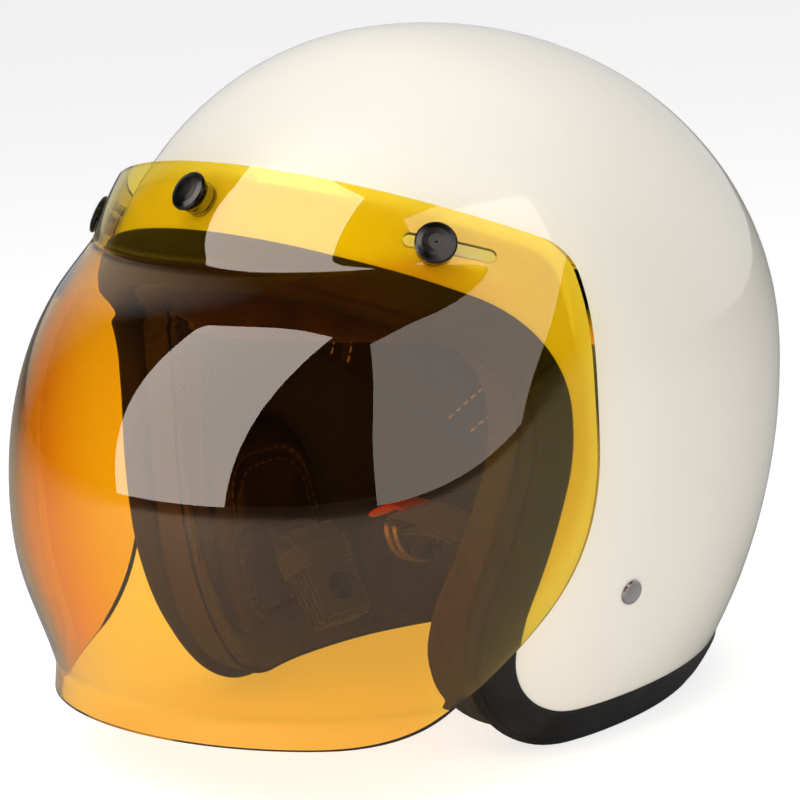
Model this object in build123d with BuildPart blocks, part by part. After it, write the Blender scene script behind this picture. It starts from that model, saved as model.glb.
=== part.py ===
"""Open face motorcycle helmet with a snap-on bubble visor.

Frame: millimetres, +Z up, the face looks along -Y and the wearer's left is +X.
The origin is on the ground under the centre of the widest section, and the
helmet stands on the flat underside of its edge trim.
"""

import os
from math import cos, radians, sin, sqrt

from build123d import *

# ---------------------------------------------------------------- driving sizes
# The outer form is four quarter ellipsoids that share one centre.
HALF_WIDTH = 121.0  # centre to either side
FRONT = 122.0  # centre to the front
REAR = 165.0  # centre to the back
CROWN = 132.0  # centre to the top
SKIRT = 184.0  # centre to the lower pole, below the cut edge
EQUATOR = 128.0  # height of that centre above the ground

# Depths below the outer surface of each layer.
SHELL_WALL = 3.5
FOAM_TOP, FOAM_BOTTOM = 3.6, 24.0
LINING_TOP, LINING_BOTTOM = 24.1, 28.0
PAD_TOP = 28.1
HEADBAND_BOTTOM = 34.0
CHEEK_BOTTOM = 46.0
NECK_BOTTOM = 42.0

# Side view of the opening: brow line, near-vertical front edge, lower corner.
EDGE_HEIGHT = 14.5  # visible lower edge of the shell above the ground
EDGE_POINTS = (
    (-140.0, 218.5),
    (-38.2, 159.4),
    (-38.2, 115.3),
    (-51.2, 57.8),
    (-51.2, EDGE_HEIGHT),
    (REAR + 40.0, EDGE_HEIGHT),
)
EDGE_RADII = (50.0, 100.0, 60.0, 33.0)
SHELL_REACH = 9.9  # how far the shell runs on under the trim
TRIM_REACH = 18.0  # how far the trim reaches past the visible shell edge
TRIM_PROUD = 1.3  # how far the trim stands out of the shell
TRIM_DEPTH = 12.0
LINING_REACH = 14.0  # edge lining, between trim and head
LINING_FLOOR = 1.2

# Snap fasteners: azimuth from straight ahead and height above the equator.
SNAPS = ((0.0, 78.8), (50.6, 62.1), (-50.6, 62.1))
VISOR_GAP = 5.7  # from shell to the inner face of the visor band
VISOR_WALL = 2.8
BAND_FOOT = 59.0  # height above the equator where the bubble starts
SNAP_RADIUS = 7.5
STUD_RADIUS = 3.0
BARREL_RADIUS = 2.4
SLOT_LENGTH = 33.0
SLOT_WIDTH = 5.0
SLOT_OFFSET = 5.0  # slot centre behind the snap
SLOT_TILT = 16.0  # degrees the slot drops towards the back

# Bubble sections: height above the equator, centre ahead, half width, reach.
BUBBLE = (
    (40.0, 13.0, 121.8, 125.7),
    (12.0, 27.0, 123.0, 130.2),
    (-26.0, 41.0, 122.0, 123.7),
    (-60.0, 57.0, 115.6, 103.2),
    (-86.0, 74.0, 102.5, 76.5),
    (-95.0, 80.0, 97.5, 67.5),
)
LIP = (-107.0, 81.0, 98.6, 67.8)  # the last few millimetres turn back outwards
# Side view of the visor's cut edge, from the front of the chin round to the brow.
VISOR_POINTS = (
    (-210.0, 23.0),
    (-32.0, 23.0),
    (-31.4, 187.9),
    (-210.0, 279.0),
)
VISOR_RADII = (95.0, 16.0)

# Chin strap.
RIVET_AZIMUTH, RIVET_HEIGHT = 86.5, -69.6
RIVET_RADIUS = 4.8
STRAP_Y = -7.0
STRAP_WIDTH = 25.0
STRAP_WALL = 2.4
HINGE_X, HINGE_Z = 66.6, 60.5  # where the webbing leaves the cheek pad
RING_WIRE = 1.65
RING_RADIUS = 15.2
RING_PITCH = 4.6
BAR_X, BAR_Z = 9.0, 73.0  # bar of the D-ring nearer the wearer's left
FOLD_PITCH = 2.8
FOLD_WALL = 1.8
FOLD_LENGTH = 44.0
FOLD_TOP = 5.0  # upper bends of the fold, below the hinge
FOLD_RUNS = 5
FOLD_LEAN = 31.0  # degrees the folded strap leans away from the cheek pad

FAR = 400.0  # longer than anything in the model


# ---------------------------------------------------------------- shared forms
def quarter_form(inset, front, upper):
    """Quarter of the helmet's outer form, moved inwards by inset."""
    low, high = (0, 90) if upper else (-90, 0)
    quarter = Sphere(1, low, high, 180, align=None, rotation=(0, 0, 180 if front else 0))
    depth = FRONT if front else REAR
    rise = CROWN - inset if upper else SKIRT
    return Pos(0, 0, EQUATOR) * scale(quarter, by=(HALF_WIDTH - inset, depth - inset, rise))


def helmet_form(inset):
    """Closed solid of the whole outer form, moved inwards by inset."""
    quarters = [quarter_form(inset, front, upper) for front in (0, 1) for upper in (1, 0)]
    with BuildPart() as form:
        for quarter in quarters:
            add(quarter)
    return form.part


def side_region(reach=0.0, floor=0.0):
    """Side view of all that lies behind the opening's edge, moved out by reach."""
    with BuildSketch(Plane.YZ) as region:
        with BuildLine():
            FilletPolyline(*EDGE_POINTS, radius=EDGE_RADII)
            Polyline(
                EDGE_POINTS[-1],
                (EDGE_POINTS[-1][0], FAR),
                (EDGE_POINTS[0][0], FAR),
                EDGE_POINTS[0],
            )
        make_face()
        if reach:
            offset(amount=reach)
        with Locations((0, floor + FAR)):
            Rectangle(2 * FAR, 2 * FAR, mode=Mode.INTERSECT)
    return region.sketch


def side_outline(points, radius):
    """Closed side-view outline with rounded corners."""
    with BuildSketch(Plane.YZ) as outline:
        with BuildLine():
            FilletPolyline(*points, radius=radius, close=True)
        make_face()
    return outline.sketch


def across(outline):
    """The side outline drawn out to both sides, wider than the helmet."""
    return extrude(Pos(-FAR / 2, 0, 0) * outline, amount=FAR, dir=(1, 0, 0))


def layer(outer, inner, *outlines):
    """Wall between two insets of the form, kept where every side outline has it."""
    outer_form, inner_form = helmet_form(outer), helmet_form(inner)
    prisms = [across(outline) for outline in outlines]
    with BuildPart() as wall:
        add(outer_form)
        for prism in prisms:
            add(prism, mode=Mode.INTERSECT)
        add(inner_form, mode=Mode.SUBTRACT)
    return wall.part


def shell_plane(azimuth, height):
    """Plane on the shell's front half, its normal outwards and its X rearwards."""
    rise = CROWN if height > 0 else SKIRT
    angle = radians(azimuth)
    level = sqrt(1 - (height / rise) ** 2)
    radius = level / sqrt((sin(angle) / HALF_WIDTH) ** 2 + (cos(angle) / FRONT) ** 2)
    point = Vector(radius * sin(angle), -radius * cos(angle), EQUATOR + height)
    normal = Vector(point.X / HALF_WIDTH**2, point.Y / FRONT**2, height / rise**2)
    side = -1 if azimuth < 0 else 1
    rearward = Vector(side * cos(angle), side * sin(angle), 0)
    return Plane(origin=point, x_dir=rearward, z_dir=normal)


def turned(*profile):
    """Solid of revolution about Z from (radius, height) points."""
    with BuildPart() as piece:
        with BuildSketch(Plane.XZ):
            with BuildLine():
                Polyline(*profile, close=True)
            make_face()
        revolve(axis=Axis.Z)
    return piece.part


def rod(radius, low, high):
    """Cylinder on Z between two heights."""
    return Pos(0, 0, (low + high) / 2) * Cylinder(radius, high - low)


snap_planes = [shell_plane(azimuth, height) for azimuth, height in SNAPS]
rivet_planes = [shell_plane(side * RIVET_AZIMUTH, RIVET_HEIGHT) for side in (1, -1)]
strap_passages = [
    Pos(side * (HINGE_X + 20), STRAP_Y, HINGE_Z) * Box(44, STRAP_WIDTH + 1, STRAP_WALL + 0.8)
    for side in (1, -1)
]
pieces = []


def keep(builder, label):
    """Label a finished piece and list it for export."""
    builder.part.label = label
    pieces.append(builder.part)


# ---------------------------------------------------------------- shell and liners
STUD_SHANK = 2.0
RIVET_SHANK = 2.5
HANGER = (30.0, 18.0, 1.5)
FOAM_POCKET = 6.5

under_trim = side_region(SHELL_REACH)
stud_holes = [plane.location * rod(STUD_SHANK, -9, 5) for plane in snap_planes]
rivet_holes = [plane.location * rod(RIVET_SHANK, -9, 5) for plane in rivet_planes]
stud_pockets = [plane.location * rod(FOAM_POCKET, -9, 1) for plane in snap_planes]
hanger_pocket = Pos(0, 0, -4) * Box(HANGER[0] + 3, HANGER[1] + 3, 10)
hanger_pockets = [plane.location * hanger_pocket for plane in rivet_planes]

shell_wall = layer(0, SHELL_WALL, under_trim)
with BuildPart() as outer_shell:
    add(shell_wall)
    for hole in stud_holes + rivet_holes:
        add(hole, mode=Mode.SUBTRACT)
keep(outer_shell, "outer_shell")

foam_wall = layer(FOAM_TOP, FOAM_BOTTOM, under_trim)
with BuildPart() as eps_liner:
    add(foam_wall)
    for pocket in stud_pockets + hanger_pockets + strap_passages:
        add(pocket, mode=Mode.SUBTRACT)
keep(eps_liner, "eps_liner")

# The trim is a channel: an outer lip on the shell and a web across its edge.
trim_block = layer(-TRIM_PROUD, TRIM_DEPTH, side_region(TRIM_REACH))
trim_bed = across(side_region())
lip_form = helmet_form(0)
channel_form = across(side_region(SHELL_REACH + 0.1))
with BuildPart() as trim_channel:
    add(lip_form)
    add(channel_form, mode=Mode.INTERSECT)
with BuildPart() as edge_trim:
    add(trim_block)
    add(trim_bed, mode=Mode.SUBTRACT)
    add(trim_channel.part, mode=Mode.SUBTRACT)
keep(edge_trim, "edge_trim")

lining_block = layer(
    TRIM_DEPTH + 0.2, HEADBAND_BOTTOM, side_region(LINING_REACH, LINING_FLOOR)
)
lining_bed = across(side_region(SHELL_REACH + 0.3))
with BuildPart() as edge_lining:
    add(lining_block)
    add(lining_bed, mode=Mode.SUBTRACT)
keep(edge_lining, "edge_lining")

liner_wall = layer(LINING_TOP, LINING_BOTTOM, under_trim)
with BuildPart() as crown_liner:
    add(liner_wall)
    for passage in strap_passages:
        add(passage, mode=Mode.SUBTRACT)
keep(crown_liner, "crown_liner")

# The headband runs parallel to the brow line and down towards the nape.
headband_outline = side_outline(
    (
        (-150, 214), (-55, 165), (120, 66), (200, 66),
        (200, 112), (120, 112), (-55, 210), (-150, 262),
    ),
    4,
)
neck_outline = side_outline(((36, 9), (200, 9), (200, 58), (44, 58)), 10)
cheek_outline = side_outline(((-52, 18), (-40, 104), (18, 104), (30, 18)), 16)

headband_wall = layer(PAD_TOP, HEADBAND_BOTTOM, under_trim, headband_outline)
with BuildPart() as headband_pad:
    add(headband_wall)
keep(headband_pad, "headband_pad")

neck_wall = layer(PAD_TOP, NECK_BOTTOM, neck_outline)
with BuildPart() as neck_roll:
    add(neck_wall)
keep(neck_roll, "neck_roll")

cheek_walls = layer(PAD_TOP, CHEEK_BOTTOM, cheek_outline)
for side, name in ((1, "left"), (-1, "right")):
    with BuildPart() as cheek_pad:
        add(cheek_walls)
        with Locations((side * FAR / 2, 0, 0)):
            Box(FAR, 2 * FAR, 2 * FAR, mode=Mode.INTERSECT)
        for passage in strap_passages:
            add(passage, mode=Mode.SUBTRACT)
    keep(cheek_pad, f"cheek_pad_{name}")


# ---------------------------------------------------------------- snap fasteners
# Each stud is a flange, a neck and a rounded head, riveted through the shell.
stud = turned(
    (0, -6.2), (2.9, -6.2), (2.9, -5.0), (STUD_SHANK, -5.0), (STUD_SHANK, 0.0),
    (6.0, 0.0), (6.2, 0.3), (6.2, 0.9), (5.9, 1.2), (2.6, 1.2), (2.6, 2.4),
    (STUD_RADIUS, 2.9), (STUD_RADIUS, 3.6), (2.5, 4.2), (0, 4.4),
)
washer = rod(5.5, -4.95, -3.75) - rod(STUD_SHANK, -9, 9)
socket = turned(
    (STUD_RADIUS + 0.05, 1.5), (5.9, 1.5), (6.3, 1.9), (6.3, 5.0), (5.9, 5.4),
    (BARREL_RADIUS, 5.4), (BARREL_RADIUS, 4.6), (4.2, 4.6), (4.2, 3.1),
    (STUD_RADIUS + 0.05, 3.1),
)
spring = rod(4.1, 3.2, 4.0) - rod(STUD_RADIUS + 0.1, 0, 9)
CAP_FOOT = VISOR_GAP + VISOR_WALL + 0.1
cap = turned(
    (0, 4.65), (BARREL_RADIUS, 4.65), (BARREL_RADIUS, CAP_FOOT), (SNAP_RADIUS - 0.5, CAP_FOOT),
    (SNAP_RADIUS, CAP_FOOT + 0.5), (SNAP_RADIUS, CAP_FOOT + 1.1), (SNAP_RADIUS - 0.6, CAP_FOOT + 1.7),
    (SNAP_RADIUS - 2.4, CAP_FOOT + 2.3), (SNAP_RADIUS - 4.6, CAP_FOOT + 2.6), (0, CAP_FOOT + 2.7),
)

for label, piece, planes in (
    ("snap_studs", stud, snap_planes),
    ("stud_washers", washer, snap_planes),
    ("snap_socket_centre", socket, snap_planes[:1]),
    ("snap_sockets_side", socket, snap_planes[1:]),
    ("socket_spring_centre", spring, snap_planes[:1]),
    ("socket_springs_side", spring, snap_planes[1:]),
    ("snap_caps", cap, snap_planes),
):
    with BuildPart() as fasteners:
        for plane in planes:
            add(plane.location * piece)
    keep(fasteners, label)


# ---------------------------------------------------------------- visor
def band_section(gap):
    """Centre, half width and reach of the band at its foot, gap off the shell."""
    level = sqrt(1 - (BAND_FOOT / (CROWN + gap)) ** 2)
    return 0.0, (HALF_WIDTH + gap) * level, (FRONT + gap) * level


def bubble_sections(inner):
    """Sections from the band's foot to the lip, closer in by the wall if inner."""
    sections = [(BAND_FOOT, *band_section(VISOR_GAP if inner else VISOR_GAP + VISOR_WALL))]
    height_above, reach_above = BAND_FOOT, FRONT
    for height, ahead, half_width, reach in (*BUBBLE, LIP):
        slope = (ahead + reach - reach_above) / (height_above - height)
        wall = VISOR_WALL * sqrt(1 + slope**2) if inner else 0.0
        sections.append((height, ahead, half_width - wall, reach - wall))
        height_above, reach_above = height, ahead + reach
    return sections


def lofted(sections):
    """Solid through horizontal ellipses."""
    with BuildPart() as body:
        for height, ahead, half_width, reach in sections:
            with BuildSketch(Plane.XY.offset(EQUATOR + height)):
                with Locations((0, -ahead)):
                    Ellipse(reach, half_width, rotation=90)
        loft()
    return body.part


band_outer = quarter_form(-VISOR_GAP - VISOR_WALL, front=True, upper=True)
band_inner = quarter_form(-VISOR_GAP, front=True, upper=True)
with BuildPart() as band:
    add(band_outer)
    add(band_inner, mode=Mode.SUBTRACT)
    with Locations((0, 0, EQUATOR + BAND_FOOT + FAR / 4)):
        Box(FAR, FAR, FAR / 2, mode=Mode.INTERSECT)

with BuildSketch(Plane.YZ) as visor_outline:
    with BuildLine():
        FilletPolyline(*VISOR_POINTS, radius=VISOR_RADII)
        Line(VISOR_POINTS[-1], VISOR_POINTS[0])
    make_face()

outer_sections, inner_sections = bubble_sections(inner=False), bubble_sections(inner=True)
bubble_outer, bubble_inner = lofted(outer_sections[:-1]), lofted(inner_sections[:-1])
lip_outer, lip_inner = lofted(outer_sections[-2:]), lofted(inner_sections[-2:])
with BuildPart() as lip:
    add(lip_outer)
    add(lip_inner, mode=Mode.SUBTRACT)
visor_prism = across(visor_outline.sketch)
centre_hole = snap_planes[0].location * rod(BARREL_RADIUS + 0.1, 0, 20)
with BuildPart() as visor:
    add(bubble_outer)
    add(bubble_inner, mode=Mode.SUBTRACT)
    add(band.part)
    add(lip.part)
    add(visor_prism, mode=Mode.INTERSECT)
    add(centre_hole, mode=Mode.SUBTRACT)
    for plane, side in zip(snap_planes[1:], (1, -1)):
        with BuildSketch(plane):
            with Locations(Rotation(0, 0, -side * SLOT_TILT)):
                with Locations((SLOT_OFFSET, 0)):
                    SlotOverall(SLOT_LENGTH, SLOT_WIDTH)
        extrude(amount=20, mode=Mode.SUBTRACT)
keep(visor, "visor")


# ---------------------------------------------------------------- chin strap
rivet = turned(
    (0, -7.7), (3.6, -7.7), (3.6, -6.55), (RIVET_SHANK, -6.55), (RIVET_SHANK, 0.05),
    (RIVET_RADIUS - 0.3, 0.05), (RIVET_RADIUS, 0.4), (RIVET_RADIUS - 0.3, 1.0),
    (RIVET_RADIUS - 1.0, 1.2), (RIVET_RADIUS - 2.0, 0.9), (0, 0.7),
)
hanger = Pos(0, 0, -5.7) * Box(*HANGER) - rod(RIVET_SHANK, -9, 9)

with BuildPart() as strap_rivets:
    for plane in rivet_planes:
        add(plane.location * rivet)
keep(strap_rivets, "strap_rivets")

with BuildPart() as strap_hangers:
    for plane in rivet_planes:
        add(plane.location * hanger)
keep(strap_hangers, "strap_hangers")

ROOT_START, ROOT_END = HINGE_X + STRAP_WALL / 2 + 0.1, 103.6
for side, name in ((1, "left"), (-1, "right")):
    with BuildPart() as strap_root:
        with Locations((side * (ROOT_START + ROOT_END) / 2, STRAP_Y, HINGE_Z)):
            Box(ROOT_END - ROOT_START, STRAP_WIDTH, STRAP_WALL)
    keep(strap_root, f"strap_root_{name}")

# The sections of both straps lie in this plane: X of the helmet across, Z up.
strap_plane = Plane(origin=(0, STRAP_Y, 0), x_dir=(1, 0, 0), z_dir=(0, -1, 0))
LOOP_RADIUS = RING_WIRE + 0.1

with BuildPart() as chin_strap_left:
    with BuildSketch(strap_plane):
        with BuildLine():
            ThreePointArc((HINGE_X, HINGE_Z), (42, 70), (BAR_X + 3.4, BAR_Z + 1.8))
        trace(line_width=STRAP_WALL)
        with Locations((HINGE_X, HINGE_Z)):
            Circle(STRAP_WALL / 2)
        with Locations((BAR_X - RING_PITCH / 2, BAR_Z)):
            SlotCenterToCenter(RING_PITCH, 2 * (LOOP_RADIUS + 2.0))
            SlotCenterToCenter(RING_PITCH, 2 * LOOP_RADIUS, mode=Mode.SUBTRACT)
    extrude(amount=STRAP_WIDTH / 2, both=True)
keep(chin_strap_left, "chin_strap_left")

TAB_START, TAB_END = BAR_X - RING_PITCH, -15.0
with BuildPart() as pull_tab:
    with BuildSketch(strap_plane):
        with BuildLine():
            ThreePointArc((TAB_START, BAR_Z + 3), (-7, BAR_Z + 3.2), (TAB_END, BAR_Z - 1))
        trace(line_width=1.6)
    extrude(amount=8, both=True)
    add(chin_strap_left.part, mode=Mode.SUBTRACT)
    with Locations((BAR_X - RING_PITCH / 2, STRAP_Y, BAR_Z)):
        Box(RING_PITCH, STRAP_WIDTH, 2 * LOOP_RADIUS + 2, mode=Mode.SUBTRACT)
keep(pull_tab, "pull_tab")

for name, bar_x in (("inner", BAR_X), ("outer", BAR_X - RING_PITCH)):
    with BuildPart() as d_ring:
        with Locations((bar_x, STRAP_Y, BAR_Z)):
            Cylinder(RING_WIRE, 2 * RING_RADIUS, rotation=(90, 0, 0))
        for end in (-RING_RADIUS, RING_RADIUS):
            with Locations((bar_x, STRAP_Y + end, BAR_Z)):
                Sphere(RING_WIRE)
        with BuildSketch(Plane.XY.offset(BAR_Z)):
            with Locations((bar_x, STRAP_Y + RING_RADIUS)):
                Circle(RING_WIRE)
        revolve(axis=Axis((bar_x, STRAP_Y, BAR_Z), (1, 0, 0)), revolution_arc=-180)
    keep(d_ring, f"d_ring_{name}")

# The long half is folded flat: straight runs joined by tight half turns.
fold_points = [(0.0, 0.0)]
for run in range(FOLD_RUNS):
    turn_height = -FOLD_TOP if run % 2 else -FOLD_LENGTH
    fold_points.append((run * FOLD_PITCH, turn_height))
    fold_points.append(((run + 1) * FOLD_PITCH, turn_height))
fold_points = fold_points[:-1]
fold_frame = Plane(origin=(-HINGE_X, STRAP_Y, HINGE_Z), x_dir=(1, 0, 0), z_dir=(0, -1, 0))
fold_plane = Plane(fold_frame.location * Rotation(0, 0, FOLD_LEAN))

with BuildPart() as chin_strap_right:
    with BuildSketch(fold_plane):
        with BuildLine():
            FilletPolyline(*fold_points, radius=FOLD_PITCH / 2 - 0.01)
        trace(line_width=FOLD_WALL)
        Circle(FOLD_WALL / 2)
    extrude(amount=STRAP_WIDTH / 2, both=True)
keep(chin_strap_right, "chin_strap_right")

BUNDLE = (FOLD_RUNS - 1) * FOLD_PITCH + FOLD_WALL
KEEPER_DROP, KEEPER_HEIGHT, KEEPER_WALL = 16.0, 9.0, 1.2

with BuildPart() as strap_keeper:
    with BuildSketch(fold_plane):
        with Locations((BUNDLE / 2 - FOLD_WALL / 2, -KEEPER_DROP)):
            Rectangle(BUNDLE + 2 * KEEPER_WALL + 0.1, KEEPER_HEIGHT)
    extrude(amount=STRAP_WIDTH / 2 + KEEPER_WALL, both=True)
    with BuildSketch(fold_plane):
        with Locations((BUNDLE / 2 - FOLD_WALL / 2, -KEEPER_DROP)):
            Rectangle(BUNDLE + 0.1, KEEPER_HEIGHT)
    extrude(amount=STRAP_WIDTH / 2 + 0.05, both=True, mode=Mode.SUBTRACT)
keep(strap_keeper, "strap_keeper")

snap_place = fold_plane.location * Pos(BUNDLE - FOLD_WALL / 2, -32, 0) * Rotation(0, 90, 0)
strap_button = snap_place * turned((0, 0), (5.6, 0), (6, 0.5), (5.6, 1.6), (4.2, 2.2), (0, 2.5))

with BuildPart() as strap_snap:
    add(strap_button)
keep(strap_snap, "strap_snap")


# ---------------------------------------------------------------- export
os.makedirs("parts", exist_ok=True)
for piece in pieces:
    export_step(piece, f"parts/{piece.label}.step")
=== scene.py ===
"""Looks of an open face motorcycle helmet with an amber bubble visor.

Metres, +Z up, the face looks along -Y, the wearer's left is +X.
"""

import math

import bmesh
import bpy
import numpy as np
from mathutils import Matrix, Vector
from mathutils.bvhtree import BVHTree


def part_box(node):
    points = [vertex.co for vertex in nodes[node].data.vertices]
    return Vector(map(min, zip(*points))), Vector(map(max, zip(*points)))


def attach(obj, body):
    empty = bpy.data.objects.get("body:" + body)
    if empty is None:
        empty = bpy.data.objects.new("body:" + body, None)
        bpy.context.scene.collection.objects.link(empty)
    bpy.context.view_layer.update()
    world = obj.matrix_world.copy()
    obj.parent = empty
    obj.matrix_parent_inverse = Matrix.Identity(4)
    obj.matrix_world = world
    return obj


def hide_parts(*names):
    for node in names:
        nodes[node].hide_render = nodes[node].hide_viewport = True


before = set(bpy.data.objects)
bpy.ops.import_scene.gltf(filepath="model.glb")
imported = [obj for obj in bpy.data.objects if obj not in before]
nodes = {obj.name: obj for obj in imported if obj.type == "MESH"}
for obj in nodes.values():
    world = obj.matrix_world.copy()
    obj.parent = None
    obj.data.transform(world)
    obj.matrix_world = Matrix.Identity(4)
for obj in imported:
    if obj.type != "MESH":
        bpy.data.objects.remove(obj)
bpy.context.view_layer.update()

MM = 0.001

# ---------------------------------------------------------------- the outer form
# Four quarter ellipsoids with one centre. Three of the sizes are read off the shell.
_, shell_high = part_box("outer_shell")
EQUATOR = 0.128
HALF_WIDTH = shell_high.x
REAR = shell_high.y
CROWN = shell_high.z - EQUATOR
FRONT = 0.122
SKIRT = 0.184
CENTRE = Vector((0, 0, EQUATOR))

# Side view (y, z) of the shell's visible edge, from the brow to the nape.
EDGE_POINTS = (
    (-0.1400, 0.2185),
    (-0.0382, 0.1594),
    (-0.0382, 0.1153),
    (-0.0512, 0.0578),
    (-0.0512, 0.0145),
    (0.2050, 0.0145),
)
EDGE_RADII = (0.050, 0.100, 0.060, 0.033)


def semi_axes(point, inset):
    """Semi-axes of the form at this point's quarter, moved in by inset metres."""
    depth = FRONT if point.y < 0 else REAR
    rise = CROWN - inset if point.z > EQUATOR else SKIRT
    return HALF_WIDTH - inset, depth - inset, rise


def on_form(point, inset=0.0):
    """The point moved along its ray from the centre onto the form."""
    a, b, c = semi_axes(point, inset)
    q = point - CENTRE
    return CENTRE + q / math.sqrt((q.x / a) ** 2 + (q.y / b) ** 2 + (q.z / c) ** 2)


def form_normal(point, inset=0.0):
    """Outward normal of the form at a point."""
    a, b, c = semi_axes(point, inset)
    q = point - CENTRE
    return Vector((q.x / a**2, q.y / b**2, q.z / c**2)).normalized()


def at_angle(azimuth, height, inset=0.0):
    """Point on the form at an azimuth from straight ahead and a height above ground."""
    sine, cosine = math.sin(azimuth), math.cos(azimuth)
    a, b, c = semi_axes(Vector((0, -cosine, height)), inset)
    level = math.sqrt(max(0.0, 1 - ((height - EQUATOR) / c) ** 2))
    radius = level / math.hypot(sine / a, cosine / b)
    return Vector((radius * sine, -radius * cosine, height))


def rounded_path(points, radii, steps=16):
    """Polyline with its inner corners rounded, as a list of 2-D vectors."""
    points = [Vector(p) for p in points]
    path = [points[0]]
    for before, corner, after, radius in zip(points, points[1:], points[2:], radii):
        u, v = (before - corner).normalized(), (after - corner).normalized()
        half = u.angle(v) / 2
        reach = radius / math.tan(half)
        middle = corner + (u + v).normalized() * (radius / math.sin(half))
        start, end = corner + u * reach - middle, corner + v * reach - middle
        turn = start.angle_signed(end)
        for i in range(steps + 1):
            path.append(middle + Matrix.Rotation(-turn * i / steps, 2) @ start)
    path.append(points[-1])
    return path


def resampled(path, count):
    """The path with count + 1 points at equal distances."""
    lengths = [0.0]
    for a, b in zip(path, path[1:]):
        lengths.append(lengths[-1] + (b - a).length)
    result, i = [], 0
    for k in range(count + 1):
        goal = lengths[-1] * k / count
        while i < len(path) - 2 and lengths[i + 1] < goal:
            i += 1
        span = lengths[i + 1] - lengths[i] or 1.0
        result.append(path[i].lerp(path[i + 1], (goal - lengths[i]) / span))
    return result


def edge_loop(half_count):
    """Closed loop of points round the shell's visible edge, left half first."""
    fine = resampled(rounded_path(EDGE_POINTS, EDGE_RADII), 4000)
    half = []
    for y, z in fine:
        a, b, c = semi_axes(Vector((0, y, z)), 0)
        rest = 1 - (y / b) ** 2 - ((z - EQUATOR) / c) ** 2
        if rest > 0:
            half.append(Vector((a * math.sqrt(rest), y, z)))
    half[0].x = half[-1].x = 0.0
    half = resampled(half, half_count)
    return half + [Vector((-p.x, p.y, p.z)) for p in half[-2:0:-1]]


# ---------------------------------------------------------------- mesh helpers
def link(mesh, name, material, body, smooth=True):
    """Object for a mesh, with its material and the body that it rides on."""
    piece = bpy.data.objects.new(name, mesh)
    bpy.context.scene.collection.objects.link(piece)
    mesh.materials.append(material)
    for face in mesh.polygons:
        face.use_smooth = smooth
    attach(piece, body)
    return piece


def mesh_of(name, points, faces):
    """Mesh from points and faces, with its normals turned outwards."""
    mesh = bpy.data.meshes.new(name)
    mesh.from_pydata([tuple(p) for p in points], [], faces)
    work = bmesh.new()
    work.from_mesh(mesh)
    bmesh.ops.recalc_face_normals(work, faces=work.faces)
    work.to_mesh(mesh)
    work.free()
    return mesh


def swept(name, rows, material, body):
    """Closed tube-like mesh from equal closed rows of points, itself closed in a ring."""
    count, size = len(rows), len(rows[0])
    faces = []
    for i in range(count):
        for j in range(size):
            k, m = (i + 1) % count, (j + 1) % size
            faces.append((i * size + j, i * size + m, k * size + m, k * size + j))
    return link(mesh_of(name, [p for row in rows for p in row], faces), name, material, body)


def smoothed(profile, rounds=2):
    """Closed outline with its corners cut twice, so that it reads as moulded."""
    for _ in range(rounds):
        cut = []
        for a, b in zip(profile, profile[1:] + profile[:1]):
            cut.append((a[0] * 0.75 + b[0] * 0.25, a[1] * 0.75 + b[1] * 0.25))
            cut.append((a[0] * 0.25 + b[0] * 0.75, a[1] * 0.25 + b[1] * 0.75))
        profile = cut
    return profile


def edge_sweep(name, profile, floor, material, body, half_count=200):
    """Sweep of a (reach, inset) outline in millimetres round the shell's edge."""
    loop = edge_loop(half_count)
    rows = []
    for i, point in enumerate(loop):
        tangent = (loop[(i + 1) % len(loop)] - loop[i - 1]).normalized()
        outwards = form_normal(point)
        towards = tangent.cross(outwards).normalized()
        row = []
        for reach, inset in smoothed(profile):
            p = on_form(point + towards * reach * MM, inset * MM)
            p.z = max(p.z, floor)
            row.append(p)
        rows.append(row)
    return swept(name, rows, material, body)


def prism(name, outline, low, high, to_world):
    """Closed cutter: a flat outline drawn out from low to high along its normal."""
    size = len(outline)
    points = [to_world(p, d) for d in (low, high) for p in outline]
    faces = [tuple(range(size)), tuple(range(size, 2 * size))]
    faces += [(j, (j + 1) % size, size + (j + 1) % size, size + j) for j in range(size)]
    cutter = bpy.data.objects.new(name, mesh_of(name, points, faces))
    bpy.context.scene.collection.objects.link(cutter)
    return cutter


def carve(piece, cutter, operation):
    """Exact boolean, applied, with its cutter removed."""
    cut = piece.modifiers.new("cut", "BOOLEAN")
    cut.operation, cut.solver, cut.object = operation, "EXACT", cutter
    bpy.context.view_layer.objects.active = piece
    bpy.ops.object.modifier_apply(modifier=cut.name)
    bpy.data.objects.remove(cutter)


# ---------------------------------------------------------------- materials
def new_material(name, **values):
    """Principled material with plain socket values, and its node tree."""
    material = bpy.data.materials.new(name)
    material.use_nodes = True
    shader = material.node_tree.nodes["Principled BSDF"]
    for key, value in values.items():
        shader.inputs[key.replace("_", " ")].default_value = value
    return material


def node(material, kind, **settings):
    """A shader node with its settings: attributes, or inputs when the name starts with in_."""
    made = material.node_tree.nodes.new(kind)
    for key, value in settings.items():
        if key.startswith("in_"):
            made.inputs[key[3:].replace("_", " ")].default_value = value
        else:
            setattr(made, key, value)
    return made


def wire(material, source, output, target, entry):
    material.node_tree.links.new(source.outputs[output], target.inputs[entry])


def shader_of(material):
    return material.node_tree.nodes["Principled BSDF"]


def coordinates(material):
    return node(material, "ShaderNodeTexCoord")


def bump(material, height_node, output, strength, distance):
    """Bump on the shader from a height."""
    made = node(material, "ShaderNodeBump", in_Strength=strength, in_Distance=distance)
    wire(material, height_node, output, made, "Height")
    wire(material, made, "Normal", shader_of(material), "Normal")
    return made


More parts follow.
